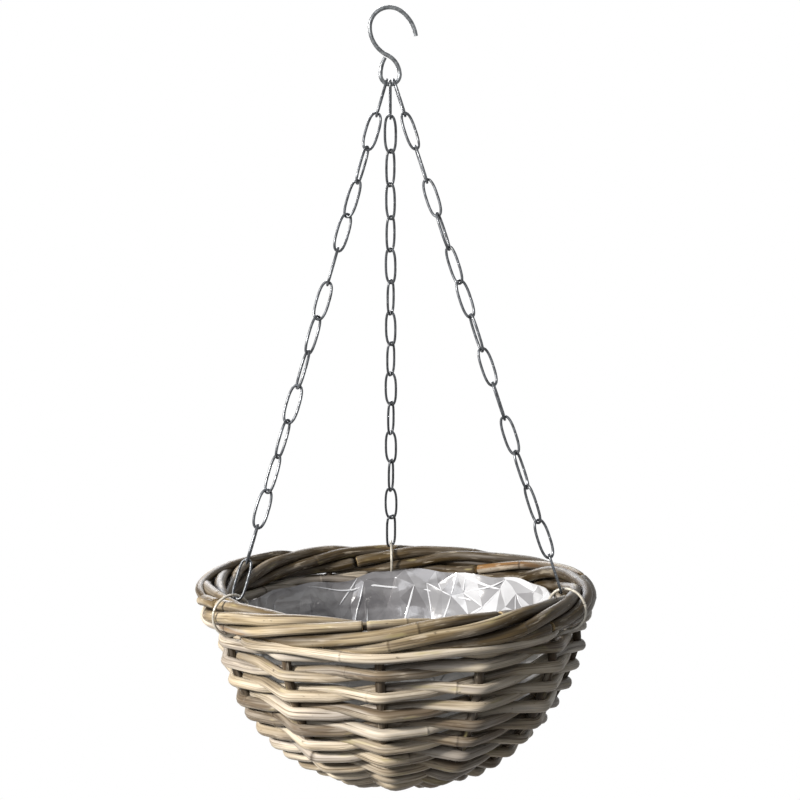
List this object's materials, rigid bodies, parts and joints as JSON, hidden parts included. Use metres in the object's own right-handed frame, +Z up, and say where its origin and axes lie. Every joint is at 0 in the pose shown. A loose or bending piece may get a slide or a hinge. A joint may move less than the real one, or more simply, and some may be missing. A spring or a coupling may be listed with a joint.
{
  "type": "hanging basket",
  "caption": "Bowl-shaped hanging basket twined from round rattan, with a film liner, hung from an S-hook by three long-link chains with rings round its border.",
  "frame": {"origin": "the point where the hook rests on its bracket: the underside of the wire at the top of the crook", "axes": "+Z up; +X to the right as the picture shows it, in the plane of the S-hook; +Y to the rear, towards the single rear chain"},
  "size_m": [0.3004, 0.3034, 0.5776],
  "materials": {
    "zinc_wire": "drawn steel wire, bright zinc plate, slightly dulled",
    "chain_steel": "bent and butted steel wire, zinc plate",
    "border_rattan": "whole round rattan with its skin, weathered grey-brown, satin",
    "woven_rattan": "whole round rattan with its skin, from cream to grey-brown, satin",
    "stake_rattan": "thinner round rattan, darker and duller",
    "film": "clear thin polythene film, creased, glossy"
  },
  "bodies": {
    "hook": {"s_hook": "zinc_wire"},
    "basket": {"border": "border_rattan", "rim_rods": "woven_rattan", "weave_rows_01_02": "woven_rattan", "weave_rows_03_04": "woven_rattan", "weave_rows_05_06": "woven_rattan", "weave_rows_07_08": "woven_rattan", "weave_rows_09_10": "woven_rattan", "stakes": "stake_rattan", "base_sticks": "stake_rattan", "liner": "film"},
    "left_ring": {"left_ring": "chain_steel"},
    "left_link_01": {"left_link_01": "chain_steel"},
    "left_link_02": {"left_link_02": "chain_steel"},
    "left_link_03": {"left_link_03": "chain_steel"},
    "left_link_04": {"left_link_04": "chain_steel"},
    "left_link_05": {"left_link_05": "chain_steel"},
    "left_link_06": {"left_link_06": "chain_steel"},
    "left_link_07": {"left_link_07": "chain_steel"},
    "left_link_08": {"left_link_08": "chain_steel"},
    "left_link_09": {"left_link_09": "chain_steel"},
    "left_link_10": {"left_link_10": "chain_steel"},
    "left_link_11": {"left_link_11": "chain_steel"},
    "left_link_12": {"left_link_12": "chain_steel"},
    "left_link_13": {"left_link_13": "chain_steel"},
    "left_link_14": {"left_link_14": "chain_steel"},
    "left_link_15": {"left_link_15": "chain_steel"},
    "right_ring": {"right_ring": "chain_steel"},
    "right_link_01": {"right_link_01": "chain_steel"},
    "right_link_02": {"right_link_02": "chain_steel"},
    "right_link_03": {"right_link_03": "chain_steel"},
    "right_link_04": {"right_link_04": "chain_steel"},
    "right_link_05": {"right_link_05": "chain_steel"},
    "right_link_06": {"right_link_06": "chain_steel"},
    "right_link_07": {"right_link_07": "chain_steel"},
    "right_link_08": {"right_link_08": "chain_steel"},
    "right_link_09": {"right_link_09": "chain_steel"},
    "right_link_10": {"right_link_10": "chain_steel"},
    "right_link_11": {"right_link_11": "chain_steel"},
    "right_link_12": {"right_link_12": "chain_steel"},
    "right_link_13": {"right_link_13": "chain_steel"},
    "right_link_14": {"right_link_14": "chain_steel"},
    "right_link_15": {"right_link_15": "chain_steel"},
    "rear_ring": {"rear_ring": "chain_steel"},
    "rear_link_01": {"rear_link_01": "chain_steel"},
    "rear_link_02": {"rear_link_02": "chain_steel"},
    "rear_link_03": {"rear_link_03": "chain_steel"},
    "rear_link_04": {"rear_link_04": "chain_steel"},
    "rear_link_05": {"rear_link_05": "chain_steel"},
    "rear_link_06": {"rear_link_06": "chain_steel"},
    "rear_link_07": {"rear_link_07": "chain_steel"},
    "rear_link_08": {"rear_link_08": "chain_steel"},
    "rear_link_09": {"rear_link_09": "chain_steel"},
    "rear_link_10": {"rear_link_10": "chain_steel"},
    "rear_link_11": {"rear_link_11": "chain_steel"},
    "rear_link_12": {"rear_link_12": "chain_steel"},
    "rear_link_13": {"rear_link_13": "chain_steel"},
    "rear_link_14": {"rear_link_14": "chain_steel"},
    "rear_link_15": {"rear_link_15": "chain_steel"}
  },
  "joints": [
    {"name": "swing_fore_aft", "type": "hinge", "parent": "hook", "child": "basket", "pos_m": [0, 0, -0.05366], "axis": [1, 0, 0], "range_deg": [-30, 30]},
    {"name": "left_ring_turn", "type": "hinge", "parent": "basket", "child": "left_ring", "pos_m": [-0.11924, -0.06884, -0.43137], "axis": [-0.5102, 0.86, 0], "range_deg": [-45, 45]},
    {"name": "left_link_01_twist", "type": "hinge", "parent": "basket", "child": "left_link_01", "pos_m": [-0.00647, -0.00194, -0.06392], "axis": [0.2891, 0.1715, 0.9418], "range_deg": [-5.62, 5.62]},
    {"name": "left_link_02_twist", "type": "hinge", "parent": "basket", "child": "left_link_02", "pos_m": [-0.01398, -0.00639, -0.08839], "axis": [0.2891, 0.1715, 0.9418], "range_deg": [-11.25, 11.25]},
    {"name": "left_link_03_twist", "type": "hinge", "parent": "basket", "child": "left_link_03", "pos_m": [-0.02149, -0.01085, -0.11287], "axis": [0.2891, 0.1715, 0.9418], "range_deg": [-16.88, 16.88]},
    {"name": "left_link_04_twist", "type": "hinge", "parent": "basket", "child": "left_link_04", "pos_m": [-0.029, -0.0153, -0.13734], "axis": [0.2891, 0.1715, 0.9418], "range_deg": [-22.5, 22.5]},
    {"name": "left_link_05_twist", "type": "hinge", "parent": "basket", "child": "left_link_05", "pos_m": [-0.03651, -0.01976, -0.16181], "axis": [0.2891, 0.1715, 0.9418], "range_deg": [-28.12, 28.12]},
    {"name": "left_link_06_twist", "type": "hinge", "parent": "basket", "child": "left_link_06", "pos_m": [-0.04402, -0.02422, -0.18629], "axis": [0.2891, 0.1715, 0.9418], "range_deg": [-33.75, 33.75]},
    {"name": "left_link_07_twist", "type": "hinge", "parent": "basket", "child": "left_link_07", "pos_m": [-0.05153, -0.02867, -0.21076], "axis": [0.2891, 0.1715, 0.9418], "range_deg": [-39.38, 39.38]},
    {"name": "left_chain_twist", "type": "hinge", "parent": "basket", "child": "left_link_08", "pos_m": [-0.05904, -0.03313, -0.23523], "axis": [0.2891, 0.1715, 0.9418], "range_deg": [-45, 45]},
    {"name": "left_link_09_twist", "type": "hinge", "parent": "basket", "child": "left_link_09", "pos_m": [-0.06655, -0.03758, -0.25971], "axis": [0.2891, 0.1715, 0.9418], "range_deg": [-39.38, 39.38]},
    {"name": "left_link_10_twist", "type": "hinge", "parent": "basket", "child": "left_link_10", "pos_m": [-0.07407, -0.04204, -0.28418], "axis": [0.2891, 0.1715, 0.9418], "range_deg": [-33.75, 33.75]},
    {"name": "left_link_11_twist", "type": "hinge", "parent": "basket", "child": "left_link_11", "pos_m": [-0.08158, -0.0465, -0.30865], "axis": [0.2891, 0.1715, 0.9418], "range_deg": [-28.12, 28.12]},
    {"name": "left_link_12_twist", "type": "hinge", "parent": "basket", "child": "left_link_12", "pos_m": [-0.08909, -0.05095, -0.33313], "axis": [0.2891, 0.1715, 0.9418], "range_deg": [-22.5, 22.5]},
    {"name": "left_link_13_twist", "type": "hinge", "parent": "basket", "child": "left_link_13", "pos_m": [-0.0966, -0.05541, -0.3576], "axis": [0.2891, 0.1715, 0.9418], "range_deg": [-16.88, 16.88]},
    {"name": "left_link_14_twist", "type": "hinge", "parent": "basket", "child": "left_link_14", "pos_m": [-0.10411, -0.05986, -0.38207], "axis": [0.2891, 0.1715, 0.9418], "range_deg": [-11.25, 11.25]},
    {"name": "left_link_15_twist", "type": "hinge", "parent": "basket", "child": "left_link_15", "pos_m": [-0.11162, -0.06432, -0.40655], "axis": [0.2891, 0.1715, 0.9418], "range_deg": [-5.62, 5.62]},
    {"name": "right_ring_turn", "type": "hinge", "parent": "basket", "child": "right_ring", "pos_m": [0.11924, -0.06884, -0.43137], "axis": [-0.5102, -0.86, 0], "range_deg": [-45, 45]},
    {"name": "right_link_01_twist", "type": "hinge", "parent": "basket", "child": "right_link_01", "pos_m": [0.00647, -0.00194, -0.06392], "axis": [-0.2891, 0.1715, 0.9418], "range_deg": [-5.62, 5.62]},
    {"name": "right_link_02_twist", "type": "hinge", "parent": "basket", "child": "right_link_02", "pos_m": [0.01398, -0.00639, -0.08839], "axis": [-0.2891, 0.1715, 0.9418], "range_deg": [-11.25, 11.25]},
    {"name": "right_link_03_twist", "type": "hinge", "parent": "basket", "child": "right_link_03", "pos_m": [0.02149, -0.01085, -0.11287], "axis": [-0.2891, 0.1715, 0.9418], "range_deg": [-16.88, 16.88]},
    {"name": "right_link_04_twist", "type": "hinge", "parent": "basket", "child": "right_link_04", "pos_m": [0.029, -0.0153, -0.13734], "axis": [-0.2891, 0.1715, 0.9418], "range_deg": [-22.5, 22.5]},
    {"name": "right_link_05_twist", "type": "hinge", "parent": "basket", "child": "right_link_05", "pos_m": [0.03651, -0.01976, -0.16181], "axis": [-0.2891, 0.1715, 0.9418], "range_deg": [-28.12, 28.12]},
    {"name": "right_link_06_twist", "type": "hinge", "parent": "basket", "child": "right_link_06", "pos_m": [0.04402, -0.02422, -0.18629], "axis": [-0.2891, 0.1715, 0.9418], "range_deg": [-33.75, 33.75]},
    {"name": "right_link_07_twist", "type": "hinge", "parent": "basket", "child": "right_link_07", "pos_m": [0.05153, -0.02867, -0.21076], "axis": [-0.2891, 0.1715, 0.9418], "range_deg": [-39.38, 39.38]},
    {"name": "right_chain_twist", "type": "hinge", "parent": "basket", "child": "right_link_08", "pos_m": [0.05904, -0.03313, -0.23523], "axis": [-0.2891, 0.1715, 0.9418], "range_deg": [-45, 45]},
    {"name": "right_link_09_twist", "type": "hinge", "parent": "basket", "child": "right_link_09", "pos_m": [0.06655, -0.03758, -0.25971], "axis": [-0.2891, 0.1715, 0.9418], "range_deg": [-39.38, 39.38]},
    {"name": "right_link_10_twist", "type": "hinge", "parent": "basket", "child": "right_link_10", "pos_m": [0.07407, -0.04204, -0.28418], "axis": [-0.2891, 0.1715, 0.9418], "range_deg": [-33.75, 33.75]},
    {"name": "right_link_11_twist", "type": "hinge", "parent": "basket", "child": "right_link_11", "pos_m": [0.08158, -0.0465, -0.30865], "axis": [-0.2891, 0.1715, 0.9418], "range_deg": [-28.12, 28.12]},
    {"name": "right_link_12_twist", "type": "hinge", "parent": "basket", "child": "right_link_12", "pos_m": [0.08909, -0.05095, -0.33313], "axis": [-0.2891, 0.1715, 0.9418], "range_deg": [-22.5, 22.5]},
    {"name": "right_link_13_twist", "type": "hinge", "parent": "basket", "child": "right_link_13", "pos_m": [0.0966, -0.05541, -0.3576], "axis": [-0.2891, 0.1715, 0.9418], "range_deg": [-16.88, 16.88]},
    {"name": "right_link_14_twist", "type": "hinge", "parent": "basket", "child": "right_link_14", "pos_m": [0.10411, -0.05986, -0.38207], "axis": [-0.2891, 0.1715, 0.9418], "range_deg": [-11.25, 11.25]},
    {"name": "right_link_15_twist", "type": "hinge", "parent": "basket", "child": "right_link_15", "pos_m": [0.11162, -0.06432, -0.40655], "axis": [-0.2891, 0.1715, 0.9418], "range_deg": [-5.62, 5.62]},
    {"name": "rear_ring_turn", "type": "hinge", "parent": "basket", "child": "rear_ring", "pos_m": [0, 0.13767, -0.43137], "axis": [1, 0, 0], "range_deg": [-45, 45]},
    {"name": "rear_link_01_twist", "type": "hinge", "parent": "basket", "child": "rear_link_01", "pos_m": [0, 0.00387, -0.06467], "axis": [0, -0.3428, 0.9394], "range_deg": [-5.62, 5.62]},
    {"name": "rear_link_02_twist", "type": "hinge", "parent": "basket", "child": "rear_link_02", "pos_m": [0, 0.01279, -0.08909], "axis": [0, -0.3428, 0.9394], "range_deg": [-11.25, 11.25]},
    {"name": "rear_link_03_twist", "type": "hinge", "parent": "basket", "child": "rear_link_03", "pos_m": [0, 0.0217, -0.11352], "axis": [0, -0.3428, 0.9394], "range_deg": [-16.88, 16.88]},
    {"name": "rear_link_04_twist", "type": "hinge", "parent": "basket", "child": "rear_link_04", "pos_m": [0, 0.03061, -0.13794], "axis": [0, -0.3428, 0.9394], "range_deg": [-22.5, 22.5]},
    {"name": "rear_link_05_twist", "type": "hinge", "parent": "basket", "child": "rear_link_05", "pos_m": [0, 0.03952, -0.16237], "axis": [0, -0.3428, 0.9394], "range_deg": [-28.12, 28.12]},
    {"name": "rear_link_06_twist", "type": "hinge", "parent": "basket", "child": "rear_link_06", "pos_m": [0, 0.04843, -0.18679], "axis": [0, -0.3428, 0.9394], "range_deg": [-33.75, 33.75]},
    {"name": "rear_link_07_twist", "type": "hinge", "parent": "basket", "child": "rear_link_07", "pos_m": [0, 0.05735, -0.21121], "axis": [0, -0.3428, 0.9394], "range_deg": [-39.38, 39.38]},
    {"name": "rear_chain_twist", "type": "hinge", "parent": "basket", "child": "rear_link_08", "pos_m": [0, 0.06626, -0.23564], "axis": [0, -0.3428, 0.9394], "range_deg": [-45, 45]},
    {"name": "rear_link_09_twist", "type": "hinge", "parent": "basket", "child": "rear_link_09", "pos_m": [0, 0.07517, -0.26006], "axis": [0, -0.3428, 0.9394], "range_deg": [-39.38, 39.38]},
    {"name": "rear_link_10_twist", "type": "hinge", "parent": "basket", "child": "rear_link_10", "pos_m": [0, 0.08408, -0.28449], "axis": [0, -0.3428, 0.9394], "range_deg": [-33.75, 33.75]},
    {"name": "rear_link_11_twist", "type": "hinge", "parent": "basket", "child": "rear_link_11", "pos_m": [0, 0.09299, -0.30891], "axis": [0, -0.3428, 0.9394], "range_deg": [-28.12, 28.12]},
    {"name": "rear_link_12_twist", "type": "hinge", "parent": "basket", "child": "rear_link_12", "pos_m": [0, 0.10191, -0.33334], "axis": [0, -0.3428, 0.9394], "range_deg": [-22.5, 22.5]},
    {"name": "rear_link_13_twist", "type": "hinge", "parent": "basket", "child": "rear_link_13", "pos_m": [0, 0.11082, -0.35776], "axis": [0, -0.3428, 0.9394], "range_deg": [-16.88, 16.88]},
    {"name": "rear_link_14_twist", "type": "hinge", "parent": "basket", "child": "rear_link_14", "pos_m": [0, 0.11973, -0.38219], "axis": [0, -0.3428, 0.9394], "range_deg": [-11.25, 11.25]},
    {"name": "rear_link_15_twist", "type": "hinge", "parent": "basket", "child": "rear_link_15", "pos_m": [0, 0.12864, -0.40661], "axis": [0, -0.3428, 0.9394], "range_deg": [-5.62, 5.62]}
  ],
  "couplings": [
    {"joint": "left_link_01_twist", "follows": "left_chain_twist", "ratio": 0.125},
    {"joint": "left_link_02_twist", "follows": "left_chain_twist", "ratio": 0.25},
    {"joint": "left_link_03_twist", "follows": "left_chain_twist", "ratio": 0.375},
    {"joint": "left_link_04_twist", "follows": "left_chain_twist", "ratio": 0.5},
    {"joint": "left_link_05_twist", "follows": "left_chain_twist", "ratio": 0.625},
    {"joint": "left_link_06_twist", "follows": "left_chain_twist", "ratio": 0.75},
    {"joint": "left_link_07_twist", "follows": "left_chain_twist", "ratio": 0.875},
    {"joint": "left_link_09_twist", "follows": "left_chain_twist", "ratio": 0.875},
    {"joint": "left_link_10_twist", "follows": "left_chain_twist", "ratio": 0.75},
    {"joint": "left_link_11_twist", "follows": "left_chain_twist", "ratio": 0.625},
    {"joint": "left_link_12_twist", "follows": "left_chain_twist", "ratio": 0.5},
    {"joint": "left_link_13_twist", "follows": "left_chain_twist", "ratio": 0.375},
    {"joint": "left_link_14_twist", "follows": "left_chain_twist", "ratio": 0.25},
    {"joint": "left_link_15_twist", "follows": "left_chain_twist", "ratio": 0.125},
    {"joint": "right_link_01_twist", "follows": "right_chain_twist", "ratio": 0.125},
    {"joint": "right_link_02_twist", "follows": "right_chain_twist", "ratio": 0.25},
    {"joint": "right_link_03_twist", "follows": "right_chain_twist", "ratio": 0.375},
    {"joint": "right_link_04_twist", "follows": "right_chain_twist", "ratio": 0.5},
    {"joint": "right_link_05_twist", "follows": "right_chain_twist", "ratio": 0.625},
    {"joint": "right_link_06_twist", "follows": "right_chain_twist", "ratio": 0.75},
    {"joint": "right_link_07_twist", "follows": "right_chain_twist", "ratio": 0.875},
    {"joint": "right_link_09_twist", "follows": "right_chain_twist", "ratio": 0.875},
    {"joint": "right_link_10_twist", "follows": "right_chain_twist", "ratio": 0.75},
    {"joint": "right_link_11_twist", "follows": "right_chain_twist", "ratio": 0.625},
    {"joint": "right_link_12_twist", "follows": "right_chain_twist", "ratio": 0.5},
    {"joint": "right_link_13_twist", "follows": "right_chain_twist", "ratio": 0.375},
    {"joint": "right_link_14_twist", "follows": "right_chain_twist", "ratio": 0.25},
    {"joint": "right_link_15_twist", "follows": "right_chain_twist", "ratio": 0.125},
    {"joint": "rear_link_01_twist", "follows": "rear_chain_twist", "ratio": 0.125},
    {"joint": "rear_link_02_twist", "follows": "rear_chain_twist", "ratio": 0.25},
    {"joint": "rear_link_03_twist", "follows": "rear_chain_twist", "ratio": 0.375},
    {"joint": "rear_link_04_twist", "follows": "rear_chain_twist", "ratio": 0.5},
    {"joint": "rear_link_05_twist", "follows": "rear_chain_twist", "ratio": 0.625},
    {"joint": "rear_link_06_twist", "follows": "rear_chain_twist", "ratio": 0.75},
    {"joint": "rear_link_07_twist", "follows": "rear_chain_twist", "ratio": 0.875},
    {"joint": "rear_link_09_twist", "follows": "rear_chain_twist", "ratio": 0.875},
    {"joint": "rear_link_10_twist", "follows": "rear_chain_twist", "ratio": 0.75},
    {"joint": "rear_link_11_twist", "follows": "rear_chain_twist", "ratio": 0.625},
    {"joint": "rear_link_12_twist", "follows": "rear_chain_twist", "ratio": 0.5},
    {"joint": "rear_link_13_twist", "follows": "rear_chain_twist", "ratio": 0.375},
    {"joint": "rear_link_14_twist", "follows": "rear_chain_twist", "ratio": 0.25},
    {"joint": "rear_link_15_twist", "follows": "rear_chain_twist", "ratio": 0.125}
  ]
}
